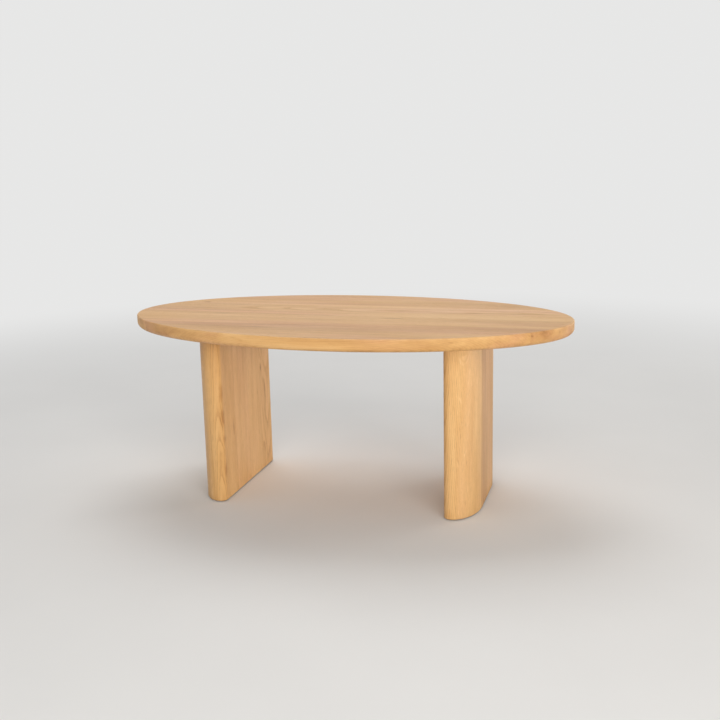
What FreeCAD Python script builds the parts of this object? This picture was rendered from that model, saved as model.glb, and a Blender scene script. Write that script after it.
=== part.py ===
import FreeCAD, Part
import math
import os

# Oval coffee table in solid oak: a top of four boards glued edge to edge, on two slab legs of
# four staves each. Every leg is screwed to a steel plate, and the plate lies flush in the
# underside of the top, held by machine bolts in threaded inserts.
# Millimetres. +X runs along the grain of the top, +Z is up, and the origin is on the floor
# under the middle of the top. The front is at -Y.

Vector = FreeCAD.Vector
UP = Vector(0, 0, 1)
ACROSS = Vector(1, 0, 0)
ORIGIN = Vector(0, 0, 0)

# Whole table
table_length = 1050.0
table_width = 560.0
table_height = 428.0

# Top: the middle boards lie about a joint near the middle, and the front and back boards take
# what width is left
top_thickness = 30.0
top_upper_rounding = 3.0
top_lower_rounding = 13.0
middle_board_width = 131.0
middle_board_count = 2
middle_joint_offset = -16.0

# Legs: flat on the inner face, bowed on the outer one, and set in from the rim of the top
leg_thickness = 73.0
leg_end_overhang = 192.0
leg_front_overhang = 114.0
leg_inner_rounding = 16.0
leg_shoulder_depth = 98.0
leg_foot_rounding = 2.0
stave_count = 4

# Mounting plates, let into the underside of the top: wider than the leg, and shorter
plate_thickness = 5.0
plate_side_reach = 28.5
plate_end_setback = 26.0
plate_corner_rounding = 12.0
plate_recess_gap = 0.3

# Machine bolts from below, beside the leg, through slots that let the top move across its grain
bolt_radius = 3.0
bolt_length = 20.0
bolt_tip_chamfer = 0.8
bolt_head_radius = 5.25
bolt_head_height = 3.3
bolt_head_chamfer = 1.6
bolt_socket_width = 4.0
bolt_socket_depth = 2.0
bolt_leg_distance = 14.5
bolt_end_distance = 45.0
slot_clearance = 0.4
slot_travel = 8.0
washer_radius = 6.0
washer_thickness = 1.6
washer_bore_gap = 0.2

# Threaded inserts in the top
insert_radius = 5.0
insert_length = 13.0
insert_bore_gap = 0.1
insert_hole_gap = 0.1
insert_hole_spare = 3.0
insert_slot_width = 1.6
insert_slot_depth = 2.0
insert_mouth_chamfer = 0.6

# Wood screws that hold the plate on the end grain of the leg
plate_screw_radius = 2.5
plate_screw_core_radius = 1.8
plate_screw_length = 60.0
plate_screw_neck_length = 8.0
plate_screw_tip_length = 6.0
plate_screw_head_radius = 4.9
plate_screw_head_height = 2.9
plate_screw_sink = 0.4
plate_screw_socket_width = 3.6
plate_screw_socket_depth = 2.0
plate_screw_edge_distance = 20.5
plate_screw_end_distance = 15.5

# Glides under the legs
glide_radius = 13.0
glide_thickness = 3.0
glide_edge_chamfer = 0.8
glide_end_distance = 51.0
glide_inner_distance = 33.5
glide_screw_radius = 1.75
glide_screw_core_radius = 1.2
glide_screw_length = 20.0
glide_screw_neck_length = 4.0
glide_screw_tip_length = 3.5
glide_screw_head_radius = 3.3
glide_screw_head_height = 1.7
glide_screw_sink = 0.5
glide_screw_socket_width = 2.2
glide_screw_socket_depth = 1.1

# Running gap round every wood screw, and the overrun of cutting tools
screw_gap = 0.15
overrun = 5.0

underside = table_height - top_thickness
recess_floor = underside + plate_thickness
leg_foot = glide_thickness
leg_height = underside - leg_foot
leg_depth = table_width - 2 * leg_front_overhang
leg_spacing = table_length - 2 * leg_end_overhang - leg_thickness
plate_width = leg_thickness + 2 * plate_side_reach
plate_length = leg_depth - 2 * plate_end_setback


def ellipse_arc(center, half_x, half_y, start, end):
    """An arc of an ellipse that lies level; angles are in degrees, counted from +X towards +Y."""
    if half_x >= half_y:
        ellipse = Part.Ellipse(center + Vector(half_x, 0, 0), center + Vector(0, half_y, 0), center)
        turn = 0
    else:
        ellipse = Part.Ellipse(center + Vector(0, half_y, 0), center - Vector(half_x, 0, 0), center)
        turn = 90
    return ellipse.toShape(math.radians(start - turn), math.radians(end - turn))


def line(first, second):
    return Part.makeLine(first, second)


def cylinder(radius, bottom, top, x=0.0, y=0.0):
    return Part.makeCylinder(radius, top - bottom, Vector(x, y, bottom), UP)


def box(low, high):
    return Part.makeBox(high.x - low.x, high.y - low.y, high.z - low.z, low)


def turned(points):
    """A solid turned about Z from its half outline, given as radius and height."""
    outline = [Vector(radius, 0, height) for radius, height in points]
    wire = Part.makePolygon(outline + outline[:1])
    return Part.Face(wire).revolve(ORIGIN, UP, 360)


def hexagon(width, bottom, top):
    """A hexagonal bar, as wide across its flats as the key that fits it."""
    corner = width / math.sqrt(3)
    points = [Vector(corner * math.cos(math.radians(a)), corner * math.sin(math.radians(a)), bottom)
              for a in range(0, 361, 60)]
    return Part.Face(Part.makePolygon(points)).extrude(Vector(0, 0, top - bottom))


def rounded_plate(size_x, size_y, rounding, bottom, top):
    plate = box(Vector(-size_x / 2, -size_y / 2, bottom), Vector(size_x / 2, size_y / 2, top))
    upright = [edge for edge in plate.Edges if abs(edge.tangentAt(edge.FirstParameter).z) > 0.5]
    return plate.makeFillet(rounding, upright)


def slot(radius, travel, bottom, top, x, y):
    """A slot across the grain: a round hole drawn out by the travel, half of it each way."""
    ends = [cylinder(radius, bottom, top, x, y + side * travel / 2) for side in (-1, 1)]
    middle = box(Vector(x - radius, y - travel / 2, bottom), Vector(x + radius, y + travel / 2, top))
    return middle.fuse(ends).removeSplitter()


def moved(shape, x, y, z=0.0):
    copy = shape.copy()
    copy.translate(Vector(x, y, z))
    return copy


def mirrored(shape):
    return shape.mirror(ORIGIN, ACROSS)


def bolt_places():
    """The bolts of one leg, measured from the leg's middle."""
    across = leg_thickness / 2 + bolt_leg_distance
    along = plate_length / 2 - bolt_end_distance
    return [(x * across, y * along) for x in (-1, 1) for y in (-1, 1)]


def plate_screw_places():
    """The wood screws of one leg, in as many evenly spaced pairs as there are staves."""
    across = leg_thickness / 2 - plate_screw_edge_distance
    reach = plate_length / 2 - plate_screw_end_distance
    rows = [reach * (2 * number / (stave_count - 1) - 1) for number in range(stave_count)]
    return [(x * across, y) for y in rows for x in (-1, 1)]


def glide_places():
    """The glides of the left leg, measured from its flat inner face and from its two ends."""
    across = leg_thickness / 2 - glide_inner_distance
    along = leg_depth / 2 - glide_end_distance
    return [(across, y * along) for y in (-1, 1)]


def wood_screw(radius, core_radius, length, neck_length, tip_length, head_radius, head_height):
    """A countersunk screw that points down, its head's face at height zero."""
    return turned([
        (0, 0),
        (head_radius, 0),
        (core_radius, -head_height),
        (core_radius, -neck_length),
        (radius, -neck_length),
        (radius, -(length - tip_length)),
        (0, -length),
    ])


def screw_hole(radius, length, head_radius, head_height, core_radius, sink):
    """The room for such a screw: a countersink that runs into a pilot hole, both with their gap."""
    slope = (head_radius - core_radius) / head_height
    throat = -(head_radius - radius) / slope
    lowest = -length - screw_gap
    return turned([
        (0, sink + overrun),
        (head_radius + screw_gap, sink + overrun),
        (head_radius + screw_gap, 0),
        (radius + screw_gap, throat),
        (radius + screw_gap, lowest),
        (0, lowest),
    ])


def plate_screw():
    screw = wood_screw(plate_screw_radius, plate_screw_core_radius, plate_screw_length,
                       plate_screw_neck_length, plate_screw_tip_length,
                       plate_screw_head_radius, plate_screw_head_height)
    socket = hexagon(plate_screw_socket_width, -plate_screw_socket_depth, overrun)
    return moved(screw.cut(socket), 0, 0, recess_floor - plate_screw_sink)


def plate_screw_hole():
    hole = screw_hole(plate_screw_radius, plate_screw_length, plate_screw_head_radius,
                      plate_screw_head_height, plate_screw_core_radius, plate_screw_sink)
    return moved(hole, 0, 0, recess_floor - plate_screw_sink)


def turned_over(shape):
    """The same piece pointing up instead of down."""
    return shape.mirror(ORIGIN, UP)


def glide_screw():
    screw = wood_screw(glide_screw_radius, glide_screw_core_radius, glide_screw_length,
                       glide_screw_neck_length, glide_screw_tip_length,
                       glide_screw_head_radius, glide_screw_head_height)
    socket = hexagon(glide_screw_socket_width, -glide_screw_socket_depth, overrun)
    return moved(turned_over(screw.cut(socket)), 0, 0, glide_screw_sink)


def glide_screw_hole():
    hole = screw_hole(glide_screw_radius, glide_screw_length, glide_screw_head_radius,
                      glide_screw_head_height, glide_screw_core_radius, glide_screw_sink)
    return moved(turned_over(hole), 0, 0, glide_screw_sink)


def glide():
    disc = turned([
        (0, 0),
        (glide_radius - glide_edge_chamfer, 0),
        (glide_radius, glide_edge_chamfer),
        (glide_radius, glide_thickness),
        (0, glide_thickness),
    ])
    return disc.cut(glide_screw_hole())


def bolt():
    """A low-headed bolt that points up, its head seated under the washer."""
    seat = underside - washer_thickness
    crown = seat - bolt_head_height
    tip = seat + bolt_length
    body = turned([
        (0, crown),
        (bolt_head_radius - bolt_head_chamfer, crown),
        (bolt_head_radius, crown + bolt_head_chamfer),
        (bolt_head_radius, seat),
        (bolt_radius, seat),
        (bolt_radius, tip - bolt_tip_chamfer),
        (bolt_radius - bolt_tip_chamfer, tip),
        (0, tip),
    ])
    return body.cut(hexagon(bolt_socket_width, crown - overrun, crown + bolt_socket_depth))


def washer():
    bottom = underside - washer_thickness
    ring = cylinder(washer_radius, bottom, underside)
    return ring.cut(cylinder(bolt_radius + washer_bore_gap, bottom - overrun, underside + overrun))


def threaded_insert():
    """A slotted insert, its mouth flush with the floor of the recess."""
    bore = bolt_radius + insert_bore_gap
    end = recess_floor + insert_length
    sleeve = turned([
        (bore + insert_mouth_chamfer, recess_floor),
        (insert_radius, recess_floor),
        (insert_radius, end),
        (bore, end),
        (bore, recess_floor + insert_mouth_chamfer),
    ])
    driver = box(Vector(-insert_slot_width / 2, -insert_radius - overrun, recess_floor - overrun),
                 Vector(insert_slot_width / 2, insert_radius + overrun, recess_floor + insert_slot_depth))
    return sleeve.cut(driver)


def mounting_plate():
    plate = rounded_plate(plate_width, plate_length, plate_corner_rounding, underside, recess_floor)
    slot_radius = bolt_radius + slot_clearance
    tools = [slot(slot_radius, slot_travel, underside - overrun, recess_floor + overrun, x, y)
             for x, y in bolt_places()]
    tools += [moved(plate_screw_hole(), x, y) for x, y in plate_screw_places()]
    return plate.cut(tools)


def leg_outline(height):
    """The section of the left leg: its flat face looks towards +X, its bowed face towards -X."""
    inner = leg_thickness / 2
    end = leg_depth / 2
    shoulder_width = leg_thickness - leg_inner_rounding
    corner_y = end - leg_inner_rounding
    shoulder_x = inner - leg_inner_rounding
    shoulder_y = end - leg_shoulder_depth
    edges = [
        line(Vector(inner, -corner_y, height), Vector(inner, corner_y, height)),
        ellipse_arc(Vector(shoulder_x, corner_y, height), leg_inner_rounding, leg_inner_rounding, 0, 90),
        ellipse_arc(Vector(shoulder_x, shoulder_y, height), shoulder_width, leg_shoulder_depth, 90, 180),
        line(Vector(-inner, shoulder_y, height), Vector(-inner, -shoulder_y, height)),
        ellipse_arc(Vector(shoulder_x, -shoulder_y, height), shoulder_width, leg_shoulder_depth, 180, 270),
        ellipse_arc(Vector(shoulder_x, -corner_y, height), leg_inner_rounding, leg_inner_rounding, 270, 360),
    ]
    return Part.Wire(Part.__sortEdges__(edges))


def leg_slab():
    """The whole left leg about its own middle, before it is divided into staves."""
    slab = Part.Face(leg_outline(leg_foot)).extrude(Vector(0, 0, leg_height))
    foot_edges = [edge for edge in slab.Edges if edge.BoundBox.ZMax < leg_foot + leg_height / 2]
    slab = slab.makeFillet(leg_foot_rounding, foot_edges)
    holes = [moved(plate_screw_hole(), x, y) for x, y in plate_screw_places()]
    holes += [moved(glide_screw_hole(), x, y) for x, y in glide_places()]
    return slab.cut(holes)


def staves():
    """The staves of the left leg, from front to back."""
    slab = leg_slab()
    width = leg_depth / stave_count
    pieces = []
    for number in range(stave_count):
        front = -leg_depth / 2 + number * width - (overrun if number == 0 else 0)
        back = -leg_depth / 2 + (number + 1) * width + (overrun if number == stave_count - 1 else 0)
        cutter = box(Vector(-leg_thickness, front, leg_foot - overrun),
                     Vector(leg_thickness, back, underside + overrun))
        pieces.append(slab.common(cutter))
    return pieces


def oval_top():
    """The whole top with its rolled rim, before it is divided into boards."""
    rim = ellipse_arc(Vector(0, 0, underside), table_length / 2, table_width / 2, 0, 360)
    disc = Part.Face(Part.Wire([rim])).extrude(Vector(0, 0, top_thickness))
    middle = underside + top_thickness / 2
    upper = [edge for edge in disc.Edges if edge.BoundBox.ZMin > middle]
    disc = disc.makeFillet(top_upper_rounding, upper)
    lower = [edge for edge in disc.Edges if edge.BoundBox.ZMax < middle]
    return disc.makeFillet(top_lower_rounding, lower)


def top_with_fittings():
    recess = rounded_plate(plate_width + 2 * plate_recess_gap, plate_length + 2 * plate_recess_gap,
                           plate_corner_rounding + plate_recess_gap, underside - overrun, recess_floor)
    hole = cylinder(insert_radius + insert_hole_gap, underside, recess_floor + insert_length + insert_hole_spare)
    tools = []
    for side in (-1, 1):
        tools.append(moved(recess, side * leg_spacing / 2, 0))
        tools += [moved(hole, side * leg_spacing / 2 + x, y) for x, y in bolt_places()]
    return oval_top().cut(tools)


def boards():
    """The boards of the top, from front to back."""
    whole = top_with_fittings()
    joints = [middle_joint_offset + (number - middle_board_count / 2) * middle_board_width
              for number in range(middle_board_count + 1)]
    fronts = [-table_width / 2 - overrun] + joints
    backs = joints + [table_width / 2 + overrun]
    pieces = []
    for front, back in zip(fronts, backs):
        cutter = box(Vector(-table_length, front, underside - overrun),
                     Vector(table_length, back, table_height + overrun))
        pieces.append(whole.common(cutter))
    return pieces


def at_leg(shape, side):
    """A piece of the left leg, in its place under the table, or mirrored to the right leg."""
    left = moved(shape, -leg_spacing / 2, 0)
    return left if side == "left" else mirrored(left)


def save(node, shapes):
    """One file for each node; a node of several like pieces holds them as separate solids."""
    solids = [solid for shape in shapes for solid in shape.Solids]
    result = solids[0] if len(solids) == 1 else Part.makeCompound(solids)
    result.exportStep(f"parts/{node}.step")
    volume = sum(solid.Volume for solid in solids)
    sound = all(solid.isValid() for solid in solids)
    print(f"{node}: {len(solids)} solid(s), {volume:.1f} mm3, {'sound' if sound else 'NOT SOUND'}")


def main():
    os.makedirs("parts", exist_ok=True)
    for number, board in enumerate(boards(), start=1):
        save(f"top_board_{number}", [board])
    stave_shapes = staves()
    plate = mounting_plate()
    screws = [moved(plate_screw(), x, y) for x, y in plate_screw_places()]
    for side in ("left", "right"):
        for number, stave in enumerate(stave_shapes, start=1):
            save(f"{side}_leg_stave_{number}", [at_leg(stave, side)])
        save(f"{side}_mounting_plate", [at_leg(plate, side)])
        save(f"{side}_plate_screws", [at_leg(screw, side) for screw in screws])

    def for_both_legs(piece, places):
        return [at_leg(moved(piece, x, y), side) for side in ("left", "right") for x, y in places]

    save("mounting_bolts", for_both_legs(bolt(), bolt_places()))
    save("bolt_washers", for_both_legs(washer(), bolt_places()))
    save("threaded_inserts", for_both_legs(threaded_insert(), bolt_places()))
    save("foot_glides", for_both_legs(glide(), glide_places()))
    save("glide_screws", for_both_legs(glide_screw(), glide_places()))


main()
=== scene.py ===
from collections import namedtuple
import math

import bmesh
import bpy
import numpy as np
from mathutils import Matrix, Vector


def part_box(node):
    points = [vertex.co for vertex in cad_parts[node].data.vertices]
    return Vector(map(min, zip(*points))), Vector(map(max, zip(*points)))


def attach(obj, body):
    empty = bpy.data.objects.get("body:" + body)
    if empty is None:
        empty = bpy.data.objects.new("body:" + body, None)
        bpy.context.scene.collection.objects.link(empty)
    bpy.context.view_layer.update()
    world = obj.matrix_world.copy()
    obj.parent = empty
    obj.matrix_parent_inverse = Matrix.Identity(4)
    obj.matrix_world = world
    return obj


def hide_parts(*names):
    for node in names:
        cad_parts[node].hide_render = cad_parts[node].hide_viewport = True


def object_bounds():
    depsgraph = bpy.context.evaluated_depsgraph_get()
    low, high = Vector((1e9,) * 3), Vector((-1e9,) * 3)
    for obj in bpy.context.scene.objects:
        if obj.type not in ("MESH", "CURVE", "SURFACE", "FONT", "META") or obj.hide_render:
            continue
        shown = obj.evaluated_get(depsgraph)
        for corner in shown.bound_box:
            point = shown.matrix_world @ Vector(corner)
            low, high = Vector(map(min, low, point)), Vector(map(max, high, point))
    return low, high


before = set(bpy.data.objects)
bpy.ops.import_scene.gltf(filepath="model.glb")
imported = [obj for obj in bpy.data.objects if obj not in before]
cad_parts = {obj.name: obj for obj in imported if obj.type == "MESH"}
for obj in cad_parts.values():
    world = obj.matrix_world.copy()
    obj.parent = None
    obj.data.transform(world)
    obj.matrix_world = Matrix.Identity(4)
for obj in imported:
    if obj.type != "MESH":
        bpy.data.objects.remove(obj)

cad_low, cad_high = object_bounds()

# Camera, matched to the photograph: place in metres, turns in radians, lens and sensor in mm.
CAMERA_PLACE = (0.6939, -2.3164, 0.8640)
CAMERA_TURN = 0.27943
CAMERA_DIP = 0.22216
CAMERA_ROLL = -0.02268
CAMERA_LENS = 52.262
CAMERA_SENSOR = 36.0

X, Y, Z = 0, 1, 2
SIDES = ("left", "right")


def extent(node, axis):
    """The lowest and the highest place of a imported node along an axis, in metres."""
    return [corner[axis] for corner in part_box(node)]


# Places of the pieces. The second stave of a leg is as thick as the leg, and both legs and both
# plates lie alike from front to back.
TOP_FACE = cad_high.z
LEG_SIDES = {side: extent(side + "_leg_stave_2", X) for side in SIDES}
INNER_FACE = LEG_SIDES["left"][1]
LEG_FRONT = extent("left_leg_stave_1", Y)[0]
LEG_BACK = extent("left_leg_stave_4", Y)[1]
PLATE_SIDES = {side: extent(side + "_mounting_plate", X) for side in SIDES}
PLATE_FRONT, PLATE_BACK = extent("left_mounting_plate", Y)

# Places of the fasteners, in metres from the sides and ends of the pieces that they hold.
PLATE_SCREW_FROM_LEG_SIDE = 0.0205
PLATE_SCREW_FROM_PLATE_END = 0.0155
PLATE_SCREW_ROWS = 4
BOLT_FROM_PLATE_SIDE = 0.0140
BOLT_FROM_PLATE_END = 0.0450
GLIDE_SCREW_FROM_INNER_FACE = 0.0335
GLIDE_SCREW_FROM_LEG_END = 0.0510

# Sizes of the fasteners, in millimetres. A core is the radius at the bottom of a thread.
MILLIMETRE = 0.001
BOLT_RADIUS = 3.0
BOLT_CORE = 2.42
BOLT_LENGTH = 20.0
BOLT_PITCH = 1.0
BOLT_HEAD_RADIUS = 5.25
BOLT_HEAD_HEIGHT = 3.3
BOLT_SOCKET_WIDTH = 4.0
BOLT_SOCKET_DEPTH = 2.0
PLATE_SCREW = dict(
    radius=2.5, core=1.8, length=60.0, neck=8.0, tip=6.0, head_radius=4.9, head_height=2.9,
    recess_width=3.6, recess_depth=2.0, pitch=2.8,
)
GLIDE_SCREW = dict(
    radius=1.75, core=1.2, length=20.0, neck=4.0, tip=3.5, head_radius=3.3, head_height=1.7,
    recess_width=2.2, recess_depth=1.1, pitch=1.5,
)
INSERT_RADIUS = 5.0
INSERT_CORE = 4.25
INSERT_LENGTH = 13.0
INSERT_PITCH = 2.2
INSERT_BORE = 3.1
INSERT_BORE_ROOT = 3.45
INSERT_SLOT_WIDTH = 1.6
INSERT_SLOT_DEPTH = 2.0

# Studio: a pale floor that fades into a pale backdrop, seen from above only. Metres and watts.
# The side light is low, so that it shines under the top. It would dazzle on the top from behind,
# so gloss doesn't show it.
BACKDROP = (0.80, 0.80, 0.795)
FLOOR_COLOUR = (0.76, 0.755, 0.745)
FLOOR_REACH = 9.0
FLOOR_DROP = 0.0002
FOOT_EDGE = 0.001
FOOT_FADE = 0.008
FADE_START = 1.1
FADE_END = 3.1
AMBIENT = 0.34
LAMP_AIM = (0.0, 0.0, 0.25)
LOW_AIM = (0.0, 0.0, 0.15)
LAMPS = {
    "key_light": dict(
        place=(1.05, -3.45, 1.95), aim=LAMP_AIM, side=2.6, power=76.0, colour=(1.0, 0.97, 0.925)
    ),
    "side_light": dict(
        place=(3.10, -3.25, 0.70), aim=LOW_AIM, side=1.25, power=76.0, colour=(1.0, 0.98, 0.95),
        glossy=False,
    ),
    "fill_light": dict(
        place=(-2.9, -2.2, 1.8), aim=LAMP_AIM, side=2.4, power=13.0, colour=(0.95, 0.97, 1.0)
    ),
    "top_light": dict(
        place=(-0.6, 1.4, 3.2), aim=LAMP_AIM, side=2.0, power=50.0, colour=(1.0, 1.0, 1.0)
    ),
    "back_light": dict(
        place=(3.4, 2.6, 1.05), aim=LAMP_AIM, side=1.9, power=38.0, colour=(1.0, 0.98, 0.95)
    ),
}


class Field:
    """A value at each point of a surface. Sums and products of fields make math nodes."""

    def __init__(self, tree, socket):
        self.tree = tree
        self.socket = socket

    def __add__(self, other):
        return self.tree.math("ADD", self, other)

    __radd__ = __add__

    def __mul__(self, other):
        return self.tree.math("MULTIPLY", self, other)

    __rmul__ = __mul__

    def __sub__(self, other):
        return self.tree.math("SUBTRACT", self, other)

    def __rsub__(self, other):
        return self.tree.math("SUBTRACT", other, self)

    def __truediv__(self, other):
        return self.tree.math("DIVIDE", self, other)


class Tree:
    """Short calls that add nodes to one new material, or to the world."""

    def __init__(self, owner):
        self.owner = owner
        owner.use_nodes = True
        self.nodes = owner.node_tree.nodes
        self.links = owner.node_tree.links
        self.nodes.clear()

    def node(self, kind, values, output=0, **settings):
        made = self.nodes.new("ShaderNode" + kind)
        for key, setting in settings.items():
            setattr(made, key, setting)
        for key, value in values.items():
            self.feed(made.inputs[key], value)
        return Field(self, made.outputs[output])

    def feed(self, socket, value):
        """Links a field to a socket, or sets a plain number or colour on the socket itself."""
        if isinstance(value, Field):
            self.links.new(value.socket, socket)
        else:
            socket.default_value = value

    def coordinates(self, kind="Object"):
        return self.node("TexCoord", {}, output=kind)

    def math(self, operation, *values, clamp=False):
        return self.node("Math", dict(enumerate(values)), operation=operation, use_clamp=clamp)

    def absolute(self, value):
        return self.math("ABSOLUTE", value)

    def parts(self, vector):
        made = self.nodes.new("ShaderNodeSeparateXYZ")
        self.links.new(vector.socket, made.inputs[0])
        return [Field(self, socket) for socket in made.outputs]

    def vector(self, x, y, z):
        return self.node("CombineXYZ", {0: x, 1: y, 2: z})

    def scaled(self, vector, scales):
        return self.node("VectorMath", {0: vector, 1: scales}, operation="MULTIPLY")

    def moved(self, vector, by):
        return self.node("VectorMath", {0: vector, 1: by}, operation="ADD")

    def length(self, vector):
        return self.node("VectorMath", {0: vector}, output="Value", operation="LENGTH")

    def step(self, value, low, high, at_low=0.0, at_high=1.0):
        """Goes smoothly from at_low to at_high as value goes from low to high."""
        limits = {0: value, 1: low, 2: high, 3: at_low, 4: at_high}
        return self.node("MapRange", limits, interpolation_type="SMOOTHSTEP")

    def noise(self, vector, scales, detail=2.0, roughness=0.5, output=0):
        """Soft noise from 0 to 1. scales are its waves in each metre along x, y and z."""
        values = {"Vector": self.scaled(vector, scales), "Scale": 1.0}
        values.update({"Detail": detail, "Roughness": roughness})
        return self.node("TexNoise", values, output=output)

    def even(self, vector, scale, **settings):
        """The same noise with one scale for all directions."""
        return self.noise(vector, (scale, scale, scale), **settings)

    def cells(self, vector, scales, output="Distance"):
        """Cells round scattered points: the distance from the point, or the cell's own colour."""
        values = {"Vector": self.scaled(vector, scales), "Scale": 1.0}
        return self.node("TexVoronoi", values, output=output)

    def ramp(self, value, stops):
        """A colour that runs straight from stop to stop."""
        made = self.nodes.new("ShaderNodeValToRGB")
        self.links.new(value.socket, made.inputs[0])
        elements = made.color_ramp.elements
        while len(elements) < len(stops):
            elements.new(0.5)
        for element, (place, colour) in zip(elements, stops):
            element.position = place
            element.color = (*colour, 1.0)
        return Field(self, made.outputs[0])

    def curve(self, value, stops):
        """A value that runs straight from stop to stop."""
        return self.ramp(value, [(place, (height,) * 3) for place, height in stops])

    def blend(self, share, first, second):
        """A colour between two, the second where share is 1."""
        made = self.nodes.new("ShaderNodeMix")
        made.data_type = "RGBA"
        self.feed(made.inputs[0], share)
        for socket, colour in ((made.inputs[6], first), (made.inputs[7], second)):
            self.feed(socket, colour if isinstance(colour, Field) else (*colour, 1.0))
        return Field(self, made.outputs[2])

    def mix(self, share, first, second):
        """A shader between two, the second where share is 1."""
        return self.node("MixShader", {0: share, 1: first, 2: second})

    def surface(self, shader, kind="OutputMaterial"):
        output = self.nodes.new("ShaderNode" + kind)
        self.links.new(shader.socket, output.inputs["Surface"])

    def finish(self, colour, roughness, height, **constants):
        """The object's shader. height is in metres, and the constants go on its own sockets."""
        normal = self.node("Bump", {"Height": height, "Distance": 1.0, "Strength": 1.0})
        values = {"Base Color": colour, "Roughness": roughness, "Normal": normal}
        self.surface(self.node("BsdfPrincipled", {**values, **constants}))
        return self.owner


def material_tree(name):
    return Tree(bpy.data.materials.new(name))


def dress(node, material):
    """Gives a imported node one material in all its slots."""
    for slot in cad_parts[node].material_slots:
        slot.material = material


# Oak from its palest to its darkest, as linear colours.
OAK_PALETTE = (
    (0.00, (0.83, 0.560, 0.285)),
    (0.25, (0.74, 0.455, 0.195)),
    (0.50, (0.63, 0.355, 0.130)),
    (0.75, (0.48, 0.243, 0.078)),
    (1.00, (0.27, 0.120, 0.036)),
)
OPEN_PORE = (0.20, 0.095, 0.034)
# How much of its red, green and blue the rosier wood keeps.
ROSY_OAK = (1.0, 0.945, 1.12)
# How porous the wood is through one year's ring, as shares of the ring.
YEAR_SHARES = (
    (0.0, 0.30), (0.04, 1.0), (0.22, 0.80), (0.42, 0.16), (0.75, 0.0), (0.96, 0.10), (1.0, 0.30)
)
# Half the width of the dark line that a glued joint shows, in metres.
GLUE_LINE = 0.00030
# The top's arris is rubbed smoother and given a painted highlight from and to these shares of the oval,
# and this far down, in metres.
ARRIS_SHARES = (0.984, 0.999)
ARRIS_HEIGHT = 0.006
# The feet are fully scuffed below the first height and not at all above the second, in metres.
SCUFF_HEIGHTS = (0.004, 0.032)

# How wood is cut. axes says which of x, y and z runs along the fibres, then the two across them.
# The legs are less rosy than the top, and their streaks are fainter and change faster.
Cut = namedtuple("Cut", "axes rosiness streak_depth streak_pace")
TOP_CUT = Cut(axes=(X, Y, Z), rosiness=1.0, streak_depth=0.86, streak_pace=1.5)
LEG_CUT = Cut(axes=(Z, X, Y), rosiness=0.35, streak_depth=0.60, streak_pace=4.0)

# A board's pith is the tree's middle across the fibres, and lean how far it moves with each metre
# along them. tone is darker as it grows. A mark is a place along and across the fibres, its half
# length and half width, how far it pushes the rings aside and how much it darkens them. A seam is
# a joint's place from front to back, and how wide and how much darker the wood beside it is.
Board = namedtuple("Board", "pith lean ring_width seed tone marks seams", defaults=((), ()))
Mark = namedtuple("Mark", "along across deep half_length half_width push dark")
Seam = namedtuple("Seam", "joint width tone")


def knots(tree, fibres, own, marks):
    """How far the marks push the rings aside, and how much they darken the wood."""
    ragged = (tree.noise(own, (70.0, 260.0, 260.0), detail=3.0) - 0.5) * 1.5
    swirl = 0.0
    stain = 0.0
    for mark in marks:
        apart = tree.moved(fibres, (-mark.along, -mark.across, -mark.deep))
        scales = (1 / mark.half_length, 1 / mark.half_width, 1 / mark.half_width)
        away = tree.length(tree.scaled(apart, scales))
        swirl = swirl + tree.step(away, 0.0, 3.2, mark.push, 0.0)
        stain = stain + tree.step(away + ragged, 0.1, 1.3, mark.dark, 0.0)
    return swirl, stain


def growth(tree, fibres, own, board, swirl):
    """The way from the pith, which wanders along the board, and the rings round it."""
    along, across, deep = tree.parts(fibres)
    wander = tree.parts(tree.noise(own, (1.25, 1.6, 1.6), detail=1.0, output="Color"))
    from_pith = tree.vector(
        0.0,
        across - along * board.lean[0] - board.pith[0] + (wander[0] - 0.5) * 0.055,
        deep - along * board.lean[1] - board.pith[1] + (wander[1] - 0.5) * 0.055,
    )
    wobble = (tree.noise(own, (3.4, 17.0, 17.0)) - 0.5) * 0.0075
    ripple = (tree.noise(own, (16.0, 120.0, 120.0)) - 0.5) * 0.0011
    ring_radius = tree.length(from_pith) + wobble + ripple + swirl
    years = tree.vector(ring_radius, board.seed, 0.0)
    seasons = tree.noise(years, (48.0, 1.0, 1.0), detail=1.0) - 0.5
    year = tree.math("FRACT", ring_radius / board.ring_width + seasons * 1.9)
    return from_pith, seasons, tree.curve(year, YEAR_SHARES)


def open_pores(tree, own, porous):
    """Long pores in the porous wood, and short fine ones in the dense wood."""
    long_pores = tree.step(tree.cells(own, (42.0, 1500.0, 1500.0)), 0.22, 0.44, 1.0, 0.0)
    fine_pores = tree.step(tree.cells(own, (95.0, 3300.0, 3300.0)), 0.14, 0.34, 1.0, 0.0)
    return tree.math("MAXIMUM", long_pores * porous, fine_pores * 0.45)


def ray_marks(tree, along, from_pith, faces, seed):
    """Rays stand out from the pith as thin upright sheets. Each is a pale fleck where the cut
    runs along it, and a fine dark line where the cut runs across it."""
    _, out_across, out_deep = tree.parts(from_pith)
    radius = tree.length(from_pith)
    sheets = tree.vector(along, tree.math("ARCTAN2", out_deep, out_across), radius)
    sheets = tree.moved(sheets, (seed * 0.31, 0.0, 0.0))
    density = (34.0, 150.0, 26.0)
    chance = tree.parts(tree.cells(sheets, density, output="Color"))[0]
    shape = tree.step(tree.cells(sheets, density), 0.18, 0.40, 1.0, 0.0)
    rays = shape * tree.step(chance, 0.52, 0.60)
    flat_cut = tree.math(
        "ABSOLUTE", out_across / radius * faces[1] + out_deep / radius * faces[2], clamp=True
    )
    return rays * tree.step(flat_cut, 0.12, 0.72, 1.0, 0.0), rays * tree.step(flat_cut, 0.55, 0.95)


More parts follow.
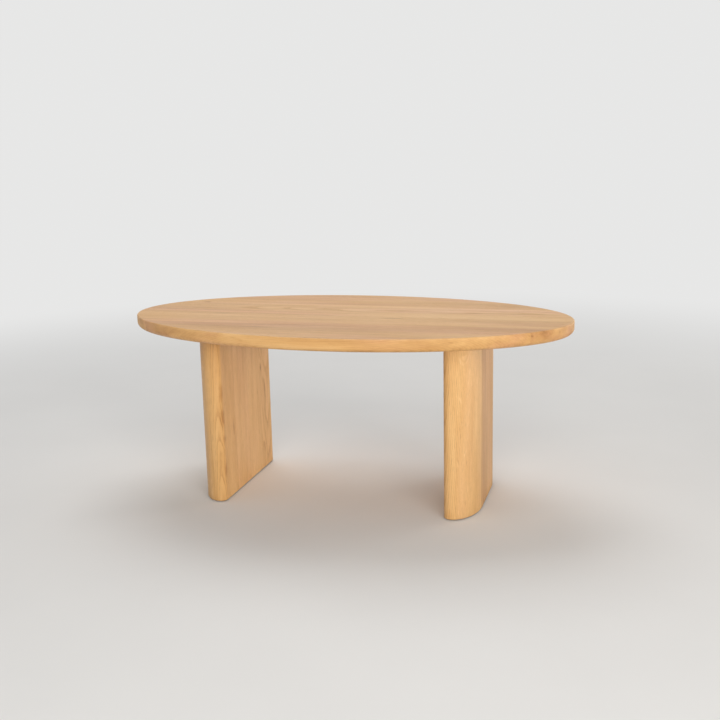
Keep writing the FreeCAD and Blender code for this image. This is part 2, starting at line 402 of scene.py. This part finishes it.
def seam_marks(tree, from_front, seams, grain_cut):
    """The darker wood beside the joints, and their dark lines."""
    darker = 0.0
    glue = 0.0
    for seam in seams:
        away = tree.absolute(from_front - seam.joint)
        darker = darker + tree.step(away, 0.0, seam.width, seam.tone, 0.0) * grain_cut
        glue = glue + tree.step(away, GLUE_LINE / 3, GLUE_LINE, 1.0, 0.0) * grain_cut
    return darker, glue


def polished_and_highlit_arris(tree, place, patches):
    """Hands rub the top's arris smoother in places, and there its colour is made paler too: a painted
    highlight.
    """
    shares = tree.scaled(tree.coordinates(), (1 / cad_high.x, 1 / cad_high.y, 0.0))
    at_rim = tree.step(tree.length(shares), *ARRIS_SHARES)
    near_top = tree.step(place[Z], TOP_FACE - ARRIS_HEIGHT, TOP_FACE)
    return at_rim * near_top * tree.step(patches, 0.2, 0.7)


def scuffed_foot(tree, place, patches):
    """Shoes and brooms scuff the feet."""
    return tree.step(place[Z], *SCUFF_HEIGHTS, 1.0, 0.0) * tree.step(patches, 0.42, 0.72)


def oak_colour(tree, own, shade, rosiness, pores):
    """The wood from pale to dark as shade goes from 0 to 1, rosier in places, with dark pores."""
    plain_wood = tree.ramp(tree.math("ADD", shade, 0.0, clamp=True), OAK_PALETTE)
    rosy = tree.step(tree.noise(own, (1.1, 13.0, 13.0), detail=3.0, roughness=0.55), 0.44, 0.66)
    wood = tree.blend(rosy * rosiness, plain_wood, tree.scaled(plain_wood, ROSY_OAK))
    return tree.blend(pores * 0.55, wood, OPEN_PORE)


def oak(name, cut, board):
    """Solid oak, so that the end grain, the rim and the faces of a board show the same rings."""
    tree = material_tree(name)
    place = tree.parts(tree.coordinates())
    facing = tree.parts(tree.coordinates("Normal"))
    along, across, deep = (place[axis] for axis in cut.axes)
    faces = [facing[axis] for axis in cut.axes]
    fibres = tree.vector(along, across, deep)
    own = tree.moved(fibres, (board.seed * 1.37, board.seed * 2.11, board.seed * 0.73))

    end_face = tree.step(tree.absolute(faces[0]), 0.25, 0.85)
    patches = tree.noise(own, (26.0, 60.0, 60.0), detail=3.0)
    if cut is TOP_CUT:
        # The shaped rim is sanded finer, which closes its grain and its joints.
        grain_cut = tree.step(tree.absolute(faces[2]), 0.30, 0.95, 0.38, 1.0)
        # Smoother at the arris in places, where the colour also gets a painted highlight.
        polish_and_highlight = polished_and_highlit_arris(tree, place, patches)
        scuffs = 0.0
    else:
        grain_cut = 1.0
        polish_and_highlight = 0.0
        scuffs = scuffed_foot(tree, place, patches)

    swirl, stain = knots(tree, fibres, own, board.marks)
    from_pith, seasons, porous = growth(tree, fibres, own, board, swirl)
    pores = open_pores(tree, own, porous) * grain_cut
    fleck, ray_line = ray_marks(tree, along, from_pith, faces, board.seed)
    darker, glue = seam_marks(tree, place[Y], board.seams, grain_cut)

    # Broad drift, long streaks, fibres and single dark mineral lines.
    drift = tree.noise(own, (0.8, 4.5, 4.5))
    streaks = tree.noise(own, (cut.streak_pace, 34.0, 34.0), detail=4.0, roughness=0.62)
    threads = tree.noise(own, (9.0, 260.0, 260.0), detail=3.0, roughness=0.6) - 0.5
    lines = tree.step(tree.noise(own, (2.2, 85.0, 85.0)), 0.66, 0.76)
    shade = (
        board.tone
        + (drift - 0.5) * 0.85
        + (streaks - 0.5) * cut.streak_depth
        + (porous - 0.25) * grain_cut * 0.14
        + threads * 0.20
        + lines * 0.16
        + seasons * 0.12
        + ray_line * 0.07
        - fleck * 0.13
        + end_face * 0.11
        + stain
        + darker
        + glue * 0.28
        # A painted highlight: the wood is paler along the top's arris.
        - polish_and_highlight * 0.08
        + scuffs * 0.12
    )
    colour = oak_colour(tree, own, shade, cut.rosiness, pores)

    # Oil fills the dense wood more than the pores, and hands polish some places.
    handled = tree.noise(own, (5.0, 7.0, 7.0))
    roughness = (
        0.43
        + (handled - 0.5) * 0.16
        + porous * 0.05
        + pores * 0.16
        + threads * 0.08
        + end_face * 0.08
        - fleck * 0.07
        - polish_and_highlight * 0.08
        + scuffs * 0.12
    )
    planed = (tree.noise(own, (7.0, 11.0, 11.0), detail=1.0) - 0.5) * 0.00035
    height = (
        planed
        - pores * 0.00007
        - porous * 0.000018
        - glue * 0.00004
        + threads * 0.000030
        + fleck * 0.000008
    )
    return tree.finish(colour, roughness, height, Metallic=0.0, IOR=1.48)


def powder_coat(name):
    """Black powder coat with a fine orange-peel surface, rubbed and dusty in places."""
    tree = material_tree(name)
    place = tree.coordinates()
    peel = tree.even(place, 620.0)
    cloud = tree.even(place, 34.0, detail=4.0, roughness=0.6)
    dust = tree.step(tree.even(place, 60.0, detail=5.0, roughness=0.7), 0.52, 0.72)
    scratches = tree.step(tree.noise(place, (240.0, 16.0, 240.0)), 0.66, 0.72)
    grey = tree.blend(cloud, (0.022, 0.022, 0.024), (0.060, 0.059, 0.058))
    dusty = tree.blend(dust * 0.32, grey, (0.22, 0.205, 0.185))
    colour = tree.blend(scratches * 0.35, dusty, (0.16, 0.16, 0.165))
    roughness = 0.46 + (peel - 0.5) * 0.14 + dust * 0.18 - scratches * 0.08
    height = (peel - 0.5) * 0.00022 - scratches * 0.00002
    return tree.finish(colour, roughness, height, Metallic=0.0, IOR=1.52)


def turned_metal(name, bright, dull, stain, rough):
    """Turned or cold-formed metal with fine tool marks, scratches and a little tarnish."""
    tree = material_tree(name)
    place = tree.coordinates()
    cloud = tree.even(place, 190.0, detail=4.0, roughness=0.6)
    tarnish = tree.step(tree.even(place, 420.0, detail=3.0), 0.55, 0.75)
    marks = tree.noise(place, (500.0, 500.0, 5200.0))
    scratches = tree.step(tree.noise(place, (2600.0, 320.0, 2600.0)), 0.63, 0.70)
    metal = tree.blend(cloud, bright, dull)
    colour = tree.blend(tarnish * 0.35, metal, stain)
    roughness = rough + (cloud - 0.5) * 0.2 + tarnish * 0.15 + (marks - 0.5) * 0.12 - scratches * 0.08
    height = (marks - 0.5) * 0.000012 - scratches * 0.000006
    return tree.finish(colour, roughness, height, Metallic=1.0)


def nylon(name):
    """Dark moulded nylon with a fine grain, scuffed pale where it meets the floor."""
    tree = material_tree(name)
    place = tree.coordinates()
    rise = tree.parts(place)[Z]
    grain = tree.even(place, 1300.0)
    cloud = tree.even(place, 120.0, detail=3.0)
    scuffs = tree.step(tree.noise(place, (700.0, 90.0, 500.0), detail=4.0, roughness=0.65), 0.5, 0.7)
    worn = scuffs * tree.step(rise, 0.0004, 0.0015, 1.0, 0.0)
    brown = tree.blend(cloud, (0.060, 0.044, 0.034), (0.088, 0.066, 0.051))
    colour = tree.blend(worn * 0.5, brown, (0.24, 0.20, 0.165))
    roughness = 0.50 + (grain - 0.5) * 0.16 + worn * 0.2
    height = (grain - 0.5) * 0.00003 - worn * 0.00002
    return tree.finish(colour, roughness, height, Metallic=0.0, IOR=1.53)


def joint_behind(node):
    """Where a board or a stave meets the next one behind it."""
    return extent(node, Y)[1]


# The top's boards, from the front. Their marks lie in the top's upper face.
FRONT_SEAM = Seam(joint_behind("top_board_1"), width=0.0075, tone=0.10)
MIDDLE_SEAM = Seam(joint_behind("top_board_2"), width=0.0040, tone=0.02)
BACK_SEAM = Seam(joint_behind("top_board_3"), width=0.0200, tone=-0.15)
TOP_BOARDS = (
    Board(
        pith=(-0.330, 0.330), lean=(0.03, 0.02), ring_width=0.0034, seed=1.0, tone=0.42,
        marks=(
            Mark(0.205, -0.205, TOP_FACE, 0.030, 0.0040, 0.002, 0.10),
            Mark(-0.155, -0.176, TOP_FACE, 0.040, 0.0040, 0.001, 0.14),
        ),
        seams=(FRONT_SEAM,),
    ),
    Board(
        pith=(0.020, 0.290), lean=(-0.02, 0.03), ring_width=0.0030, seed=2.0, tone=0.55,
        marks=(
            Mark(-0.303, -0.026, TOP_FACE, 0.030, 0.0042, 0.002, 0.34),
            Mark(0.118, -0.033, TOP_FACE, 0.036, 0.0042, 0.001, 0.34),
            Mark(0.110, -0.050, TOP_FACE, 0.040, 0.0060, 0.000, -0.12),
        ),
        seams=(FRONT_SEAM, MIDDLE_SEAM),
    ),
    Board(
        pith=(0.062, 0.320), lean=(0.012, 0.022), ring_width=0.0037, seed=3.0, tone=0.55,
        marks=(Mark(-0.070, 0.062, TOP_FACE, 0.045, 0.0035, 0.001, 0.12),),
        seams=(MIDDLE_SEAM, BACK_SEAM),
    ),
    Board(
        pith=(0.300, 0.290), lean=(-0.03, -0.02), ring_width=0.0032, seed=4.0, tone=0.44,
        marks=(
            Mark(-0.409, 0.122, TOP_FACE, 0.015, 0.0052, 0.004, 0.48),
            Mark(0.360, 0.158, TOP_FACE, 0.060, 0.0180, 0.002, 0.12),
        ),
        seams=(BACK_SEAM,),
    ),
)

# The legs' staves, from the front. The left leg's marks lie in its inner face and front corner.
STAVE_SEAMS = tuple(
    Seam(joint_behind(f"left_leg_stave_{number}"), width=0.0030, tone=0.05) for number in (1, 2, 3)
)
LEG_STAVES = {
    # The left staves behind the first are paler than the right leg's: painted light on the inner face
    # that the top shades.
    "left": (
        Board(
            pith=(-0.205, -0.225), lean=(0.02, -0.04), ring_width=0.0036, seed=11.0, tone=0.50,
            marks=(
                Mark(0.165, INNER_FACE, LEG_FRONT + 0.071, 0.020, 0.0030, 0.002, 0.30),
                Mark(0.262, INNER_FACE - 0.002, LEG_FRONT + 0.011, 0.024, 0.0075, 0.004, 0.28),
                Mark(0.206, INNER_FACE - 0.002, LEG_FRONT + 0.011, 0.026, 0.0080, 0.004, 0.30),
                Mark(0.152, INNER_FACE - 0.001, LEG_FRONT + 0.014, 0.012, 0.0070, 0.003, 0.22),
                Mark(0.078, INNER_FACE - 0.001, LEG_FRONT + 0.014, 0.020, 0.0065, 0.004, 0.28),
            ),
        ),
        Board(pith=(-0.140, -0.210), lean=(0.01, 0.01), ring_width=0.0031, seed=12.0, tone=0.41),
        Board(pith=(-0.130, 0.190), lean=(-0.02, 0.01), ring_width=0.0034, seed=13.0, tone=0.40),
        Board(
            pith=(-0.400, 0.120), lean=(0.04, 0.02), ring_width=0.0036, seed=14.0, tone=0.44,
            marks=(
                Mark(0.268, INNER_FACE, LEG_BACK - 0.073, 0.011, 0.0035, 0.003, 0.45),
                Mark(0.212, INNER_FACE, LEG_BACK - 0.052, 0.024, 0.0060, 0.003, 0.20),
                Mark(0.055, INNER_FACE, LEG_BACK - 0.066, 0.020, 0.0045, 0.002, 0.24),
            ),
        ),
    ),
    "right": (
        Board(pith=(0.405, -0.055), lean=(0.02, 0.03), ring_width=0.0035, seed=21.0, tone=0.49),
        Board(pith=(0.200, -0.150), lean=(0.03, -0.01), ring_width=0.0032, seed=22.0, tone=0.53),
        Board(pith=(0.420, 0.150), lean=(-0.03, 0.02), ring_width=0.0034, seed=23.0, tone=0.48),
        Board(pith=(0.210, 0.240), lean=(0.02, 0.02), ring_width=0.0036, seed=24.0, tone=0.52),
    ),
}


def dress_wood():
    for number, board in enumerate(TOP_BOARDS, start=1):
        node = f"top_board_{number}"
        dress(node, oak(node + "_oak", TOP_CUT, board))
    for side, staves in LEG_STAVES.items():
        for number, stave in enumerate(staves, start=1):
            node = f"{side}_leg_stave_{number}"
            beside = STAVE_SEAMS[max(0, number - 2):number]
            dress(node, oak(node + "_oak", LEG_CUT, stave._replace(seams=beside)))


# Each small fastener is a skin over rows of points, one point in each of the columns round it. It
# is made in millimetres, and points up from the face of its head at height zero. A section of the
# skin is its rows, and how many rows further on a row's next turn lies, which is 0 in level rows.
# A tooth is how far out a thread stands, from its root at 0 to its crest at 1, at shares of its
# pitch.
COLUMNS = 24
MACHINE_TOOTH_SHARES = ((0.0, 1.0), (0.12, 1.0), (0.44, 0.0), (0.68, 0.0))
WOOD_TOOTH_SHARES = ((0.0, 1.0), (0.17, 0.08), (0.50, 0.0), (0.83, 0.08))
MERGE = 0.0002
SHARP_EDGE = math.radians(38)
# The angle of the first of a group, and how much further round each next one was tightened.
FIRST_TURN = 0.4
NEXT_TURN = 1.3


def between(at, stops):
    """The value at a point of a line through stops."""
    return float(np.interp(at, [stop[0] for stop in stops], [stop[1] for stop in stops]))


def hexagon(width):
    """The distance from a hexagon's middle to its side, by angle."""
    return lambda angle: width / 2 / math.cos((angle + math.pi / 6) % (math.pi / 3) - math.pi / 6)


def six_lobes(width):
    """The distance from the middle of a six-lobed recess to its side, by angle."""
    return lambda angle: width / 2 * (1 + 0.10 * math.cos(6 * angle))


def ring_point(radius, share, height):
    angle = math.tau * share
    return radius * math.cos(angle), radius * math.sin(angle), height


def rings(*stops):
    """A section of level rows. A stop is a height, and a radius or what gives it by angle."""
    rows = []
    for height, radius in stops:
        row = []
        for column in range(COLUMNS):
            share = column / COLUMNS
            reach = radius(math.tau * share) if callable(radius) else radius
            row.append(ring_point(reach, share, height))
        rows.append(row)
    return rows, 0


def thread(low, high, pitch, tooth, core, crest):
    """A section of rows that climb one pitch in each turn, cut level at both ends.

    core and crest are the inner and outer radii, each by height.
    """
    whole_tooth = (*tooth, (1.0, tooth[0][1]))
    rows = []
    for turn in range(math.ceil((high - low) / pitch) + 2):
        for phase, _ in tooth:
            row = []
            for column in range(COLUMNS):
                share = column / COLUMNS
                climb = min(max((turn + phase + share - 1) * pitch, 0.0), high - low)
                tall = between((climb / pitch - share) % 1.0, whole_tooth)
                inner, outer = between(low + climb, core), between(low + climb, crest)
                row.append(ring_point(inner + (outer - inner) * tall, share, low + climb))
            rows.append(row)
    return rows, len(tooth)


def downward(section):
    """The same section from its top to its bottom."""
    rows, shift = section
    return rows[::-1], -shift


def skin(*sections):
    """The mesh over sections that follow each other. In a thread, a row's last point is followed
    by the first point of its next turn."""
    rows, follows = [], []
    for section, shift in sections:
        first, last = len(rows), len(rows) + len(section) - 1
        follows += [min(max(first + number + shift, first), last) for number in range(len(section))]
        rows += section
    mesh = bmesh.new()
    points = [[mesh.verts.new(point) for point in row] for row in rows]
    for number in range(len(rows) - 1):
        lower, upper = points[number], points[number + 1]
        next_lower = [*lower[1:], points[follows[number]][0]]
        next_upper = [*upper[1:], points[follows[number + 1]][0]]
        for corners in zip(lower, next_lower, next_upper, upper):
            corners = list(dict.fromkeys(corners))
            if len(corners) > 2:
                mesh.faces.new(corners)
    bmesh.ops.remove_doubles(mesh, verts=mesh.verts, dist=MERGE)
    bmesh.ops.dissolve_degenerate(mesh, edges=mesh.edges, dist=MERGE)
    bmesh.ops.recalc_face_normals(mesh, faces=mesh.faces)
    made = bpy.data.meshes.new("fastener")
    mesh.to_mesh(made)
    mesh.free()
    return made


def slotted(mesh, width, depth, reach):
    """The mesh with a driver's slot cut across its face, as far as reach from its middle."""
    cutter = bpy.data.meshes.new("cutter")
    box = bmesh.new()
    bmesh.ops.create_cube(box, size=2.0)
    bmesh.ops.scale(box, vec=(width / 2, reach, depth), verts=box.verts)
    box.to_mesh(cutter)
    box.free()
    whole, tool = (bpy.data.objects.new(part.name, part) for part in (mesh, cutter))
    for thing in (whole, tool):
        bpy.context.scene.collection.objects.link(thing)
    cut = whole.modifiers.new("slot", "BOOLEAN")
    cut.object = tool
    cut.operation = "DIFFERENCE"
    cut.solver = "EXACT"
    ready = whole.evaluated_get(bpy.context.evaluated_depsgraph_get())
    made = bpy.data.meshes.new_from_object(ready)
    for thing in (whole, tool):
        bpy.data.objects.remove(thing)
    return made


def bolt():
    """A button-headed machine bolt, its socket ending in the shallow cone that a drill leaves."""
    socket = hexagon(BOLT_SOCKET_WIDTH)
    drill_cone = 0.3
    countersink = 0.25
    countersink_radius = 2.5
    crown_radius = 2.85
    dome_height = 2.75
    dome_steps = 7
    edge = 0.2
    edge_inset = 0.17
    fillet = 0.25
    runout = 0.3
    bevel = 0.4
    bevel_start = 1.1
    seat = BOLT_HEAD_HEIGHT
    tip = seat + BOLT_LENGTH
    dome = [
        (
            dome_height * (1 - math.cos(turn)),
            crown_radius + (BOLT_HEAD_RADIUS - crown_radius) * math.sin(turn),
        )
        for turn in np.linspace(0.0, math.pi / 2, dome_steps)
    ]
    head = rings(
        (BOLT_SOCKET_DEPTH + drill_cone, 0.0), (BOLT_SOCKET_DEPTH, socket), (countersink, socket),
        (0.0, countersink_radius), *dome, (seat - edge, BOLT_HEAD_RADIUS),
        (seat, BOLT_HEAD_RADIUS - edge_inset), (seat, BOLT_RADIUS + fillet), (seat + edge, BOLT_RADIUS),
    )
    screwed = thread(
        seat + runout, tip - bevel, BOLT_PITCH, MACHINE_TOOTH_SHARES, ((seat, BOLT_CORE),),
        ((tip - bevel_start, BOLT_RADIUS), (tip - bevel, BOLT_RADIUS - 0.5)),
    )
    return skin(head, screwed, rings((tip, BOLT_RADIUS - 0.85), (tip, 0.0)))


def wood_screw(
    radius, core, length, neck, tip, head_radius, head_height, recess_width, recess_depth, pitch
):
    """A countersunk wood screw with a six-lobed recess."""
    bevel = 0.12
    edge = 0.2
    runout = 0.3
    point = 0.35
    slope = (head_radius - core) / head_height
    head = rings(
        (recess_depth * 1.15, 0.0), (recess_depth, six_lobes(recess_width * 0.94)),
        (bevel, six_lobes(recess_width)), (0.0, six_lobes(recess_width * 1.06)),
        (0.0, head_radius - 0.24), (edge * 0.3, head_radius - 0.10), (edge, head_radius - edge * slope),
        (head_height, core), (neck - runout, core),
    )
    body = length - tip
    slim = core * 0.92
    screwed = thread(
        neck, length - point, pitch, WOOD_TOOTH_SHARES,
        ((neck, core), (neck + pitch, slim), (body, slim), (length, 0.1)),
        ((neck, core), (neck + pitch, radius), (body + 0.2 * tip, radius), (length, 0.2)),
    )
    return skin(head, screwed, rings((length, 0.0)))


def insert():
    """A slotted insert with a coarse thread outside and a fine one in its bore."""
    lip = 0.7
    lip_flare = 0.6
    chamfer = 0.2
    collar = 0.9
    groove = 0.5
    lead_in = 1.2
    runout = 0.4
    slot_overrun = 1.0
    outer_low = 1.2
    outer_high = INSERT_LENGTH - 0.6
    outside = thread(
        outer_low, outer_high, INSERT_PITCH, WOOD_TOOTH_SHARES, ((0.0, INSERT_CORE),),
        (
            (outer_low, INSERT_RADIUS - runout), (outer_low + lead_in, INSERT_RADIUS),
            (outer_high - runout, INSERT_RADIUS), (outer_high, INSERT_CORE + 0.05),
        ),
    )
    inside = thread(
        lip, INSERT_LENGTH, BOLT_PITCH, MACHINE_TOOTH_SHARES, ((0.0, INSERT_BORE),),
        ((INSERT_LENGTH - runout, INSERT_BORE_ROOT), (INSERT_LENGTH, INSERT_BORE)),
    )
    top = rings(
        (INSERT_LENGTH, INSERT_BORE), (INSERT_LENGTH, INSERT_CORE - 0.35),
        (outer_high + chamfer, INSERT_CORE),
    )
    mouth = rings(
        (lip, INSERT_BORE), (0.0, INSERT_BORE + lip_flare), (0.0, INSERT_RADIUS - chamfer),
        (chamfer, INSERT_RADIUS), (collar, INSERT_RADIUS), (outer_low, INSERT_RADIUS - groove),
    )
    sleeve = skin(mouth, outside, downward(top), downward(inside), rings((lip, INSERT_BORE)))
    return slotted(sleeve, INSERT_SLOT_WIDTH, INSERT_SLOT_DEPTH, INSERT_RADIUS + slot_overrun)


def inset(low, high, distance, count=2):
    """Evenly spaced places between two edges, the outer ones at a distance from them."""
    return np.linspace(low + distance, high - distance, count)


def fit(name, node, material, mesh, columns, rows, turned_over=False):
    """One piece of like fasteners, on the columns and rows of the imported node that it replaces."""
    lowest, highest = extent(node, Z)
    height = highest if turned_over else lowest
    points = np.array([vertex.co for vertex in mesh.vertices]) * MILLIMETRE
    if turned_over:
        points = points * (1.0, -1.0, -1.0)
    faces = [tuple(face.vertices) for face in mesh.polygons]
    all_points, all_faces = [], []
    for number, (x, y) in enumerate((x, y) for x in columns for y in rows):
        turn = np.array(Matrix.Rotation(FIRST_TURN + number * NEXT_TURN, 3, "Z"))
        all_faces += [tuple(corner + number * len(points) for corner in face) for face in faces]
        all_points.append(points @ turn.T + (x, y, height))
    joined = bpy.data.meshes.new(name)
    joined.from_pydata(np.concatenate(all_points).tolist(), [], all_faces)
    joined.polygons.foreach_set("use_smooth", [True] * len(joined.polygons))
    joined.set_sharp_from_angle(angle=SHARP_EDGE)
    joined.materials.append(material)
    piece = bpy.data.objects.new(name, joined)
    bpy.context.scene.collection.objects.link(piece)
    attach(piece, "root")
    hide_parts(node)


def fit_hardware():
    """The plates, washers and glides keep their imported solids. The threaded pieces are replaced."""
    coat = powder_coat("black_powder_coat")
    zinc = turned_metal("zinc_steel", (0.66, 0.66, 0.65), (0.50, 0.51, 0.52), (0.50, 0.46, 0.38), 0.30)
    brass = turned_metal("brass", (0.78, 0.60, 0.30), (0.62, 0.46, 0.22), (0.42, 0.28, 0.14), 0.28)
    dress("bolt_washers", zinc)
    dress("foot_glides", nylon("brown_nylon"))

    plate_screw = wood_screw(**PLATE_SCREW)
    rows = inset(PLATE_FRONT, PLATE_BACK, PLATE_SCREW_FROM_PLATE_END, PLATE_SCREW_ROWS)
    for side, edges in LEG_SIDES.items():
        dress(side + "_mounting_plate", coat)
        name = side + "_threaded_plate_screws"
        node = side + "_plate_screws"
        columns = inset(*edges, PLATE_SCREW_FROM_LEG_SIDE)
        fit(name, node, zinc, plate_screw, columns, rows, turned_over=True)

    columns = [x for edges in PLATE_SIDES.values() for x in inset(*edges, BOLT_FROM_PLATE_SIDE)]
    rows = inset(PLATE_FRONT, PLATE_BACK, BOLT_FROM_PLATE_END)
    fit("threaded_bolts", "mounting_bolts", zinc, bolt(), columns, rows)
    fit("slotted_inserts", "threaded_inserts", brass, insert(), columns, rows)

    glide_screw = wood_screw(**GLIDE_SCREW)
    columns = (INNER_FACE - GLIDE_SCREW_FROM_INNER_FACE, GLIDE_SCREW_FROM_INNER_FACE - INNER_FACE)
    rows = inset(LEG_FRONT, LEG_BACK, GLIDE_SCREW_FROM_LEG_END)
    fit("threaded_glide_screws", "glide_screws", zinc, glide_screw, columns, rows)


def under_feet(tree, place):
    """1 under the legs and 0 a little way beside them."""
    x, y, _ = tree.parts(place)
    leg_inner, leg_outer = LEG_SIDES["right"]
    from_middle = tree.absolute(tree.absolute(x) - (leg_inner + leg_outer) / 2)
    half_thickness = (leg_outer - leg_inner) / 2
    across = tree.step(from_middle, half_thickness - FOOT_EDGE, half_thickness + FOOT_FADE, 1.0, 0.0)
    return across * tree.step(tree.absolute(y), LEG_BACK - FOOT_EDGE, LEG_BACK + FOOT_FADE, 1.0, 0.0)


def studio_floor():
    mesh = bpy.data.meshes.new("floor")
    signs = ((-1, -1), (1, -1), (1, 1), (-1, 1))
    corners = [(x * FLOOR_REACH, y * FLOOR_REACH, -FLOOR_DROP) for x, y in signs]
    mesh.from_pydata(corners, [], [(0, 1, 2, 3)])
    floor = bpy.data.objects.new("floor", mesh)
    bpy.context.scene.collection.objects.link(floor)

    tree = material_tree("pale_floor")
    mesh.materials.append(tree.owner)
    place = tree.coordinates()
    mottle = tree.even(place, 3.0, detail=5.0)
    darker, lighter = (tuple(share * part for part in FLOOR_COLOUR) for share in (0.97, 1.03))
    colour = tree.blend(mottle, darker, lighter)
    matt = {"Base Color": colour, "Roughness": 0.9, "Specular IOR Level": 0.0}
    near = tree.node("BsdfPrincipled", matt)
    far = tree.node("Emission", {"Color": (*BACKDROP, 1.0)})
    shown = tree.mix(tree.step(tree.length(place), FADE_START, FADE_END), near, far)

    # The floor is clear from below, and lets light through to the undersides of the feet.
    from_below = tree.node("NewGeometry", {}, output="Backfacing")
    lit_foot = under_feet(tree, place) * tree.node("LightPath", {}, output="Is Diffuse Ray")
    clear = tree.node("BsdfTransparent", {})
    tree.surface(tree.mix(tree.math("MAXIMUM", from_below, lit_foot), shown, clear))


def studio_world():
    """Pale to the camera, in reflections and through glass, and a softer even light otherwise."""
    world = bpy.data.worlds.new("studio")
    bpy.context.scene.world = world
    tree = Tree(world)
    seen = 0.0
    for ray in ("Camera", "Glossy", "Transmission"):
        seen = tree.math("MAXIMUM", seen, tree.node("LightPath", {}, output=f"Is {ray} Ray"))
    soft = tree.node("Background", {"Color": (*BACKDROP, 1.0), "Strength": AMBIENT})
    pale = tree.node("Background", {"Color": (*BACKDROP, 1.0), "Strength": 1.0})
    tree.surface(tree.mix(seen, soft, pale), "OutputWorld")


def soft_box(name, place, aim, side, power, colour, glossy=True):
    """A square lamp that the camera doesn't see, nor gloss either where glossy is False."""
    lamp = bpy.data.lights.new(name, "AREA")
    lamp.shape = "SQUARE"
    lamp.size = side
    lamp.energy = power
    lamp.color = colour
    box = bpy.data.objects.new(name, lamp)
    box.location = place
    box.rotation_mode = "QUATERNION"
    box.rotation_quaternion = (Vector(aim) - Vector(place)).to_track_quat("-Z", "Y")
    box.visible_camera = False
    box.visible_glossy = glossy
    bpy.context.scene.collection.objects.link(box)


def photo_camera():
    lens = bpy.data.cameras.new("camera")
    lens.sensor_width = CAMERA_SENSOR
    lens.lens = CAMERA_LENS
    camera = bpy.data.objects.new("camera", lens)
    turned = Matrix.Rotation(CAMERA_TURN, 4, "Z") @ Matrix.Rotation(math.pi / 2 - CAMERA_DIP, 4, "X")
    rolled = turned @ Matrix.Rotation(CAMERA_ROLL, 4, "Z")
    camera.matrix_world = Matrix.Translation(CAMERA_PLACE) @ rolled
    bpy.context.scene.collection.objects.link(camera)
    bpy.context.scene.camera = camera


dress_wood()
fit_hardware()
studio_floor()
studio_world()
for name, lamp in LAMPS.items():
    soft_box(name, **lamp)
photo_camera()
bpy.context.scene.view_settings.view_transform = "Standard"
